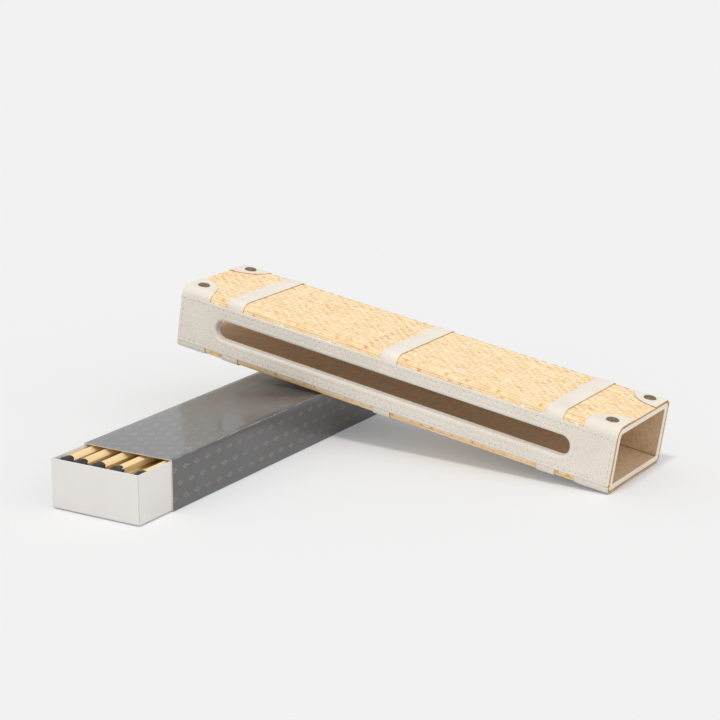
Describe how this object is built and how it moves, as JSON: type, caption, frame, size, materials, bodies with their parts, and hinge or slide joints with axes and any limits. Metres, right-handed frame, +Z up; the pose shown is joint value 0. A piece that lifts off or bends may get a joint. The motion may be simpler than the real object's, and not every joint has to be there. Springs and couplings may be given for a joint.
{
  "type": "matchbox holder",
  "caption": "Open-ended rectangular sleeve of woven raffia and stitched pale leather with side slots, leaning on the long matchbox that slides into it and whose tray draws out.",
  "frame": {"origin": "on the floor, in the middle of the area that the set covers", "axes": "+X along the holder towards its foot, +Y along the matchbox away from its tray's front, +Z up"},
  "size_m": [0.3028, 0.3194, 0.0865],
  "materials": {
    "panel_leather": "pebble grain, pale stone, matt",
    "trim_leather": "fine grain, off-white, matt",
    "binding_leather": "smooth cream",
    "lining": "suede, light tan",
    "board": "greyboard",
    "backing": "tan backing cloth",
    "raffia": "plain-woven natural raffia",
    "rivet_metal": "dark bronze plating",
    "sleeve_card": "gloss dark grey print with small gold marks",
    "striker": "rough brown striking surface",
    "tray_card": "white card",
    "match_wood": "pale split wood",
    "match_head": "black striking composition, matt and lumpy"
  },
  "bodies": {
    "holder": {"top_board": "board", "bottom_board": "board", "front_board": "board", "rear_board": "board", "floor_lining": "lining", "ceiling_lining": "lining", "front_lining": "lining", "rear_lining": "lining", "left_end_binding": "binding_leather", "right_end_binding": "binding_leather", "backing_wrap": "backing", "raffia_top": "raffia", "raffia_bottom": "raffia", "top_strap_left": "trim_leather", "bottom_strap_left": "trim_leather", "top_strap_middle": "trim_leather", "bottom_strap_middle": "trim_leather", "top_strap_right": "trim_leather", "bottom_strap_right": "trim_leather", "top_patch_front_left": "trim_leather", "top_patch_front_right": "trim_leather", "top_patch_rear_left": "trim_leather", "top_patch_rear_right": "trim_leather", "bottom_patch_front_left": "trim_leather", "bottom_patch_front_right": "trim_leather", "bottom_patch_rear_left": "trim_leather", "bottom_patch_rear_right": "trim_leather", "rivet_caps": "rivet_metal", "rivet_backs": "rivet_metal", "front_side_panel": "panel_leather", "rear_side_panel": "panel_leather", "front_slot_binding": "panel_leather", "rear_slot_binding": "panel_leather"},
    "matchbox": {"matchbox_sleeve": "sleeve_card", "striker_strip": "striker"},
    "tray": {"match_tray": "tray_card", "match_sticks": "match_wood", "match_heads": "match_head"}
  },
  "joints": [
    {"name": "matchbox_slide", "type": "slide", "parent": "holder", "child": "matchbox", "axis": [0, -1, 0], "range_m": [-0.14, 0.06]},
    {"name": "tray_slide", "type": "slide", "parent": "matchbox", "child": "tray", "axis": [0, -1, 0], "range_m": [-0.0295, 0.2]}
  ]
}
